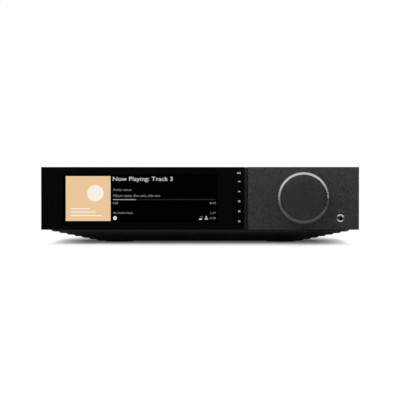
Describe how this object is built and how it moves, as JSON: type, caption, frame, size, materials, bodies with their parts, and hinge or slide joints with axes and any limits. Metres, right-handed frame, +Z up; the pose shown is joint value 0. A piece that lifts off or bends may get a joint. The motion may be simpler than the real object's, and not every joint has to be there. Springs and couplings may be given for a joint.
{
  "type": "streaming amplifier",
  "caption": "Compact streaming amplifier with a wide screen, slim side keys, a two-part knob, a headphone socket and a stepped base.",
  "frame": {"origin": "middle of the footprint, on the surface that the feet stand on", "axes": "+X to the right seen from the front, +Y from the front towards the rear, +Z up"},
  "size_m": [0.318, 0.352, 0.077],
  "materials": {
    "base_black": "satin",
    "foot_rubber": "matte",
    "screw_black": "satin",
    "zinc_steel": "satin",
    "cover_black": "fine texture",
    "frame_black": "matte",
    "lens_black": "high gloss",
    "fascia_anodised": "bead blasted, anodised",
    "screen": "glossy",
    "board_green": "satin",
    "moulded_black": "satin",
    "ring_silver": "machined, fluted",
    "shaft_steel": "turned",
    "dial_anodised": "bead blasted, anodised",
    "bright_chrome": "polished",
    "brass_plain": "turned",
    "sink_aluminium": "extruded, anodised",
    "ferrite": "matte",
    "winding_tape": "taped",
    "can_sleeve": "sleeved",
    "shield_can": "satin",
    "gold_plated": "plated",
    "bright_nickel": "plated",
    "centre_white": "satin",
    "key_black": "satin",
    "cap_clear_black": "gloss"
  },
  "bodies": {
    "chassis": {"aerial_sockets": "gold_plated", "amplifier_board": "board_green", "binding_posts": "gold_plated", "case_screws": "screw_black", "chassis_tray": "zinc_steel", "control_board": "board_green", "data_sockets": "bright_nickel", "display_board": "board_green", "display_lens": "lens_black", "encoder_body": "zinc_steel", "encoder_nut": "zinc_steel", "ethernet_socket": "moulded_black", "fascia_plate": "fascia_anodised", "feet": "foot_rubber", "foot_screws": "screw_black", "front_frame": "frame_black", "headphone_collar": "bright_chrome", "headphone_jack": "moulded_black", "heatsink": "sink_aluminium", "inlet_pins": "bright_nickel", "inner_screws": "zinc_steel", "key_board": "board_green", "key_switches": "moulded_black", "lcd_panel": "screen", "main_board": "board_green", "mains_inlet": "moulded_black", "optical_socket": "moulded_black", "output_devices": "moulded_black", "output_inductors": "ferrite", "post_insulators": "moulded_black", "post_nuts": "zinc_steel", "rca_barrels": "gold_plated", "rca_blocks": "moulded_black", "rca_centres": "centre_white", "rear_panel": "cover_black", "socket_tongues": "moulded_black", "standoffs": "brass_plain", "stepped_base": "base_black", "streaming_module": "shield_can", "supply_board": "board_green", "supply_capacitors": "can_sleeve", "switch_housing": "moulded_black", "top_cover": "cover_black", "transformer_core": "ferrite", "transformer_winding": "winding_tape"},
    "volume_knob": {"volume_ring": "ring_silver", "volume_sleeve": "shaft_steel"},
    "source_knob": {"source_dial": "dial_anodised", "dial_shaft": "shaft_steel"},
    "mains_rocker": {"power_rocker": "moulded_black"},
    "play_pause_key": {"play_pause_key": "key_black"},
    "skip_forward_key": {"skip_forward_key": "key_black"},
    "skip_back_key": {"skip_back_key": "key_black"},
    "info_key": {"info_key": "key_black"},
    "speaker_key": {"speaker_key": "key_black"},
    "power_key": {"power_key": "key_black"},
    "speaker_cap_1": {"speaker_cap_1": "cap_clear_black"},
    "speaker_cap_2": {"speaker_cap_2": "cap_clear_black"},
    "speaker_cap_3": {"speaker_cap_3": "cap_clear_black"},
    "speaker_cap_4": {"speaker_cap_4": "cap_clear_black"}
  },
  "joints": [
    {"name": "volume_turn", "type": "hinge", "parent": "chassis", "child": "volume_knob", "pos_m": [0.1027, -0.158, 0.0462], "axis": [0, 1, 0], "continuous": true},
    {"name": "source_turn", "type": "hinge", "parent": "chassis", "child": "source_knob", "pos_m": [0.1027, -0.158, 0.0462], "axis": [0, 1, 0], "continuous": true},
    {"name": "play_pause_press", "type": "slide", "parent": "chassis", "child": "play_pause_key", "axis": [0, 1, 0], "range_m": [0, 0.0006], "stiffness_N_per_m": 1500, "springref_m": -0.0002},
    {"name": "skip_forward_press", "type": "slide", "parent": "chassis", "child": "skip_forward_key", "axis": [0, 1, 0], "range_m": [0, 0.0006], "stiffness_N_per_m": 1500, "springref_m": -0.0002},
    {"name": "skip_back_press", "type": "slide", "parent": "chassis", "child": "skip_back_key", "axis": [0, 1, 0], "range_m": [0, 0.0006], "stiffness_N_per_m": 1500, "springref_m": -0.0002},
    {"name": "info_press", "type": "slide", "parent": "chassis", "child": "info_key", "axis": [0, 1, 0], "range_m": [0, 0.0006], "stiffness_N_per_m": 1500, "springref_m": -0.0002},
    {"name": "speaker_press", "type": "slide", "parent": "chassis", "child": "speaker_key", "axis": [0, 1, 0], "range_m": [0, 0.0006], "stiffness_N_per_m": 1500, "springref_m": -0.0002},
    {"name": "power_press", "type": "slide", "parent": "chassis", "child": "power_key", "axis": [0, 1, 0], "range_m": [0, 0.0006], "stiffness_N_per_m": 1500, "springref_m": -0.0002},
    {"name": "mains_switch", "type": "hinge", "parent": "chassis", "child": "mains_rocker", "pos_m": [-0.096, 0.159, 0.0452], "axis": [-1, 0, 0], "range_deg": [0, 16]},
    {"name": "cap_turn_1", "type": "hinge", "parent": "chassis", "child": "speaker_cap_1", "pos_m": [-0.0645, 0.159, 0.0392], "axis": [0, -1, 0], "range_deg": [0, 1080]},
    {"name": "cap_turn_2", "type": "hinge", "parent": "chassis", "child": "speaker_cap_2", "pos_m": [-0.0465, 0.159, 0.0392], "axis": [0, -1, 0], "range_deg": [0, 1080]},
    {"name": "cap_turn_3", "type": "hinge", "parent": "chassis", "child": "speaker_cap_3", "pos_m": [-0.0225, 0.159, 0.0392], "axis": [0, -1, 0], "range_deg": [0, 1080]},
    {"name": "cap_turn_4", "type": "hinge", "parent": "chassis", "child": "speaker_cap_4", "pos_m": [-0.0045, 0.159, 0.0392], "axis": [0, -1, 0], "range_deg": [0, 1080]}
  ]
}
